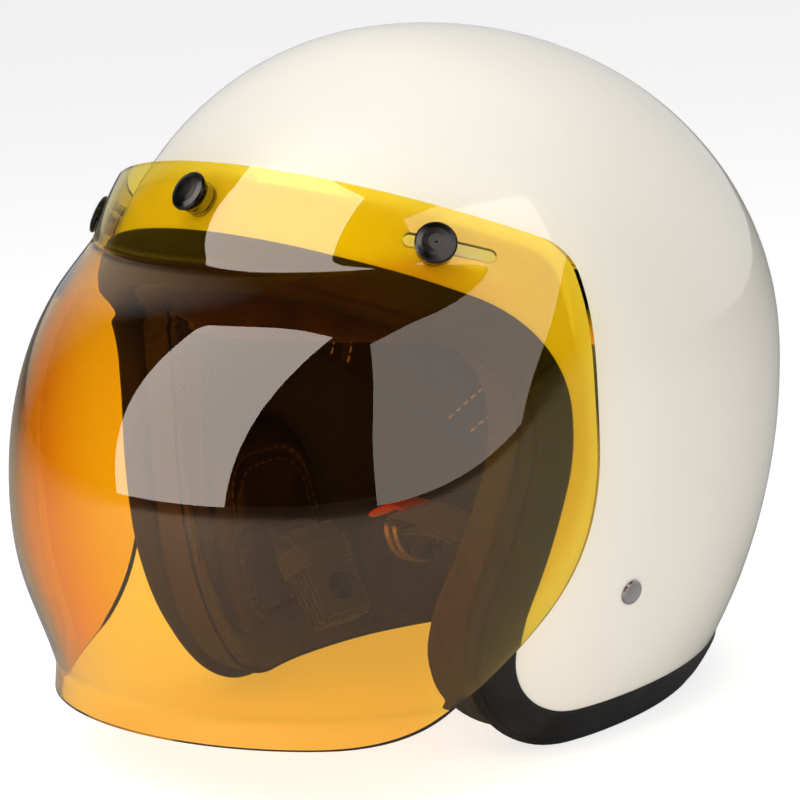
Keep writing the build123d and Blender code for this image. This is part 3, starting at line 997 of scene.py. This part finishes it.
def visor_levels():
    """Heights with the outer and inner ellipses (centre ahead, half width, reach) there."""
    foot = math.sqrt(1 - (BAND_FOOT / (CROWN / MM + VISOR_GAP + VISOR_WALL)) ** 2)
    out = VISOR_GAP + VISOR_WALL
    start = (BAND_FOOT, 0.0, (HALF_WIDTH / MM + out) * foot, (FRONT / MM + out) * foot)
    sections = np.array(sorted((start, *BUBBLE)))
    heights = np.arange(LIP[0], BAND_TOP + 1.0)
    table = np.zeros((3, len(heights)))
    for column in range(3):
        values = sections[:, column + 1]
        curve = natural_spline(sections[:, 0], values, heights)
        lip = np.interp(heights, (LIP[0], sections[0, 0]), (LIP[column + 1], values[0]))
        curve = np.where(heights < sections[0, 0], lip, curve)
        table[column] = curve
    level = np.sqrt(1 - (heights / (CROWN / MM + out)) ** 2)
    band = np.array(
        (0 * heights, (HALF_WIDTH / MM + out) * level, (FRONT / MM + out) * level)
    )
    table = np.where(heights > BAND_FOOT, band, table)
    kernel = np.exp(-((np.arange(-8, 9) / 1.8) ** 2))
    kernel /= kernel.sum()
    padded = np.pad(table, ((0, 0), (8, 8)), mode="reflect", reflect_type="odd")
    table = np.array([np.convolve(row, kernel, mode="valid") for row in padded])
    inner = table.copy()
    inner[1] -= VISOR_WALL * np.sqrt(1 + np.gradient(table[1]) ** 2)
    inner[2] -= VISOR_WALL * np.sqrt(1 + np.gradient(table[0] + table[2]) ** 2)
    return heights, table, inner


def tuck(height, angle):
    """How far the visor draws in towards the shell just above its bend, in front."""
    above = min(1.0, max(0.0, (TUCK_TOP - height) / (TUCK_TOP - BAND_FOOT))) ** 2
    below = min(1.0, max(0.0, (height - TUCK_FOOT) / (BAND_FOOT - TUCK_FOOT)))
    return TUCK * above * below * below * (3 - 2 * below) * max(0.0, math.cos(angle)) ** 4


def shade_by_angle(piece, degrees):
    """Smooth shading with sharp edges where faces meet at more than this angle."""
    mesh = piece.data
    mesh.shade_smooth()
    mesh.set_sharp_from_angle(angle=math.radians(degrees))


def snap_frame(azimuth, height):
    """Point, outward normal and rearward direction of a snap on the shell's front."""
    angle = math.radians(azimuth)
    level = math.sqrt(1 - (height / CROWN) ** 2)
    radius = level / math.hypot(math.sin(angle) / HALF_WIDTH, math.cos(angle) / FRONT)
    point = Vector((radius * math.sin(angle), -radius * math.cos(angle), EQUATOR + height))
    normal = form_normal(point)
    side = -1 if azimuth < 0 else 1
    rearward = Vector((side * math.cos(angle), side * math.sin(angle), 0))
    rearward = (rearward - normal * rearward.dot(normal)).normalized()
    return point, normal, rearward, side


def bubble_visor():
    """One moulding: band and bubble with a soft bend between, cut to its side outline."""
    heights, outer, inner = visor_levels()
    columns, sweep = 220, math.radians(114)
    points, faces = [], []
    for table in (outer, inner):
        for i, height in enumerate(heights):
            ahead, half_width, reach = table[:, i]
            for j in range(columns + 1):
                angle = -sweep + 2 * sweep * j / columns
                inward = tuck(height, angle)
                points.append(Vector((
                    (half_width - inward) * math.sin(angle) * MM,
                    (-ahead - (reach - inward) * math.cos(angle)) * MM,
                    EQUATOR + height * MM,
                )))
    row, block = columns + 1, (columns + 1) * len(heights)
    for side in (0, block):
        for i in range(len(heights) - 1):
            for j in range(columns):
                a = side + i * row + j
                faces.append((a, a + 1, a + row + 1, a + row))
    for i in range(len(heights) - 1):
        for j in (0, columns):
            a = i * row + j
            faces.append((a, a + row, block + a + row, block + a))
    for i in (0, len(heights) - 1):
        for j in range(columns):
            a = i * row + j
            faces.append((a, a + 1, block + a + 1, block + a))
    piece = link(mesh_of("visor_bubble", points, faces), "visor_bubble", amber, "visor_assembly")
    outline = rounded_path([*VISOR_POINTS], VISOR_RADII, 40)
    carve(piece, prism("side_cutter", outline, -0.2, 0.2, lambda p, d: Vector((d, p.x, p.y))),
          "INTERSECT")
    for azimuth, height in SNAPS:
        point, normal, rearward, side = snap_frame(azimuth, height)
        upward = normal.cross(rearward)
        tilt = math.radians(SLOT_TILT)
        long = rearward * math.cos(tilt) - upward * math.sin(tilt) * (1 if side > 0 else -1)
        wide = normal.cross(long)
        half = (SLOT_LENGTH - SLOT_WIDTH) / 2 if azimuth else 0.0
        shift = SLOT_OFFSET if azimuth else 0.0
        outline = []
        for k in range(48):
            a = 2 * math.pi * k / 48
            end = half if math.cos(a) > 0 else -half
            outline.append(Vector((shift + end + SLOT_WIDTH / 2 * math.cos(a), SLOT_WIDTH / 2 * math.sin(a))))

        def to_world(p, d):
            return point + long * p.x + wide * p.y + normal * d

        carve(piece, prism("slot_cutter", outline, 0.001, 0.02, to_world), "DIFFERENCE")
    shade_by_angle(piece, 35)
    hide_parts("visor")


bubble_visor()


# ---------------------------------------------------------------- stage
def facing(azimuth, elevation):
    """Unit vector from the object towards a direction, in degrees; 0 is straight ahead."""
    a, e = math.radians(azimuth), math.radians(elevation)
    return Vector((math.sin(a) * math.cos(e), -math.cos(a) * math.cos(e), math.sin(e)))


def floor_and_backdrop():
    """Pale floor that stays near white, and a surround that is white where it is seen."""
    side = 8.0
    mesh = bpy.data.meshes.new("floor")
    corners = ((-side, -side), (side, -side), (side, side), (-side, side))
    mesh.from_pydata([(x, y, -0.0003) for x, y in corners], [], [(0, 1, 2, 3)])
    floor = bpy.data.objects.new("floor", mesh)
    bpy.context.scene.collection.objects.link(floor)
    white = new_material(
        "floor_white",
        Base_Color=(0.40, 0.40, 0.40, 1),
        Roughness=0.8,
        Emission_Color=(1, 1, 1, 1),
    )
    rays = node(white, "ShaderNodeLightPath")
    dimmed = node(white, "ShaderNodeMapRange")
    dimmed.inputs["To Min"].default_value = 0.76
    dimmed.inputs["To Max"].default_value = 0.0
    wire(white, rays, "Glossy Depth", dimmed, "Value")
    wire(white, dimmed, "Result", shader_of(white), "Emission Strength")
    mesh.materials.append(white)

    world = bpy.data.worlds.new("studio")
    bpy.context.scene.world = world
    world.use_nodes = True
    tree = world.node_tree
    ground = tree.nodes["Background"]
    place = tree.nodes.new("ShaderNodeTexCoord")
    split = tree.nodes.new("ShaderNodeVectorMath")
    split.operation = "DOT_PRODUCT"
    split.inputs[1].default_value = facing(205, 20)
    ramp = tree.nodes.new("ShaderNodeValToRGB")
    ramp.color_ramp.elements[0].position = 0.70
    ramp.color_ramp.elements[0].color = (0.02, 0.02, 0.02, 1)
    ramp.color_ramp.elements[1].position = 0.88
    ramp.color_ramp.elements[1].color = (0.62, 0.62, 0.62, 1)
    scaled = tree.nodes.new("ShaderNodeMath")
    scaled.operation = "MULTIPLY_ADD"
    scaled.inputs[1].default_value = scaled.inputs[2].default_value = 0.5
    rays = tree.nodes.new("ShaderNodeLightPath")
    direct = tree.nodes.new("ShaderNodeMath")
    direct.operation = "LESS_THAN"
    direct.inputs[1].default_value = 0.5
    seen = tree.nodes.new("ShaderNodeMath")
    seen.operation = "MULTIPLY_ADD"
    mix = tree.nodes.new("ShaderNodeMix")
    mix.data_type = "RGBA"
    mix.inputs[7].default_value = (1, 1, 1, 1)
    for a, b in (
        (place.outputs["Generated"], split.inputs[0]),
        (split.outputs["Value"], scaled.inputs[0]),
        (scaled.outputs[0], ramp.inputs["Fac"]),
        (rays.outputs["Glossy Depth"], direct.inputs[0]),
        (rays.outputs["Is Transmission Ray"], seen.inputs[0]),
        (direct.outputs[0], seen.inputs[1]),
        (rays.outputs["Is Camera Ray"], seen.inputs[2]),
        (seen.outputs[0], mix.inputs[0]),
        (ramp.outputs["Color"], mix.inputs[6]),
        (mix.outputs[2], ground.inputs["Color"]),
    ):
        tree.links.new(a, b)


def softbox(name, azimuth, elevation, distance, size, radiance):
    """Glowing rectangle that faces the helmet, seen only in reflections."""
    width, height = size
    corners = ((-width, -height), (width, -height), (width, height), (-width, height))
    mesh = bpy.data.meshes.new(name)
    mesh.from_pydata([(x / 2, y / 2, 0) for x, y in corners], [], [(0, 1, 2, 3)])
    glow = new_material(
        name,
        Base_Color=(0, 0, 0, 1),
        Emission_Color=(1.0, 0.88, 0.78, 1),
        Emission_Strength=radiance,
    )
    mesh.materials.append(glow)
    panel = bpy.data.objects.new(name, mesh)
    bpy.context.scene.collection.objects.link(panel)
    away = facing(azimuth, elevation)
    panel.location = Vector((0, 0, EQUATOR)) + away * distance
    panel.rotation_mode = "QUATERNION"
    panel.rotation_quaternion = away.to_track_quat("Z", "Y")
    panel.visible_camera = panel.visible_diffuse = panel.visible_shadow = False
    panel.visible_transmission = False


def fill_light(name, azimuth, elevation, distance, size, radiance):
    """Large soft lamp of a given brightness that lights the object without a reflection."""
    data = bpy.data.lights.new(name, "AREA")
    data.shape = "SQUARE"
    data.size = size
    data.energy = radiance * math.pi * size * size
    lamp = bpy.data.objects.new(name, data)
    bpy.context.scene.collection.objects.link(lamp)
    away = facing(azimuth, elevation)
    lamp.location = Vector((0, 0, 0.13)) + away * distance
    lamp.rotation_mode = "QUATERNION"
    lamp.rotation_quaternion = away.to_track_quat("Z", "Y")
    lamp.visible_camera = lamp.visible_glossy = lamp.visible_transmission = False


def lights():
    """A tall softbox left of the camera, a broad one to its right, and soft fill light."""
    softbox("softbox_left", -10, 30, 1.3, (1.1, 1.6), 6.0)
    softbox("softbox_right", 80, 25, 1.4, (1.3, 1.5), 2.5)
    fill_light("fill_front", 35, 14, 1.6, 1.0, 0.9)
    fill_light("fill_left", -5, 55, 1.5, 1.3, 3.9)
    fill_light("fill_right", 85, 25, 1.5, 1.4, 1.25)
    fill_light("fill_top", 150, 75, 1.6, 1.6, 0.62)


def camera():
    """Long lens from the front left, slightly above, rolled a little."""
    azimuth, elevation, roll = (math.radians(a) for a in (45.313, 11.151, -3.562))
    distance, lens = 1.268, 149.76
    back = Vector((
        math.sin(azimuth) * math.cos(elevation),
        -math.cos(azimuth) * math.cos(elevation),
        math.sin(elevation),
    ))
    level = Vector((math.cos(azimuth), math.sin(azimuth), 0))
    upright = back.cross(level)
    right = level * math.cos(roll) + upright * math.sin(roll)
    up = upright * math.cos(roll) - level * math.sin(roll)
    data = bpy.data.cameras.new("camera")
    data.lens, data.sensor_width = lens, 36.0
    data.clip_start, data.clip_end = 0.05, 30.0
    eye = bpy.data.objects.new("camera", data)
    bpy.context.scene.collection.objects.link(eye)
    place = Matrix((right, up, back)).transposed().to_4x4()
    place.translation = CENTRE - level * 0.00497 - upright * 0.01038 + back * distance
    eye.matrix_world = place
    bpy.context.scene.camera = eye


floor_and_backdrop()
lights()
camera()
bpy.context.scene.view_settings.view_transform = "Standard"
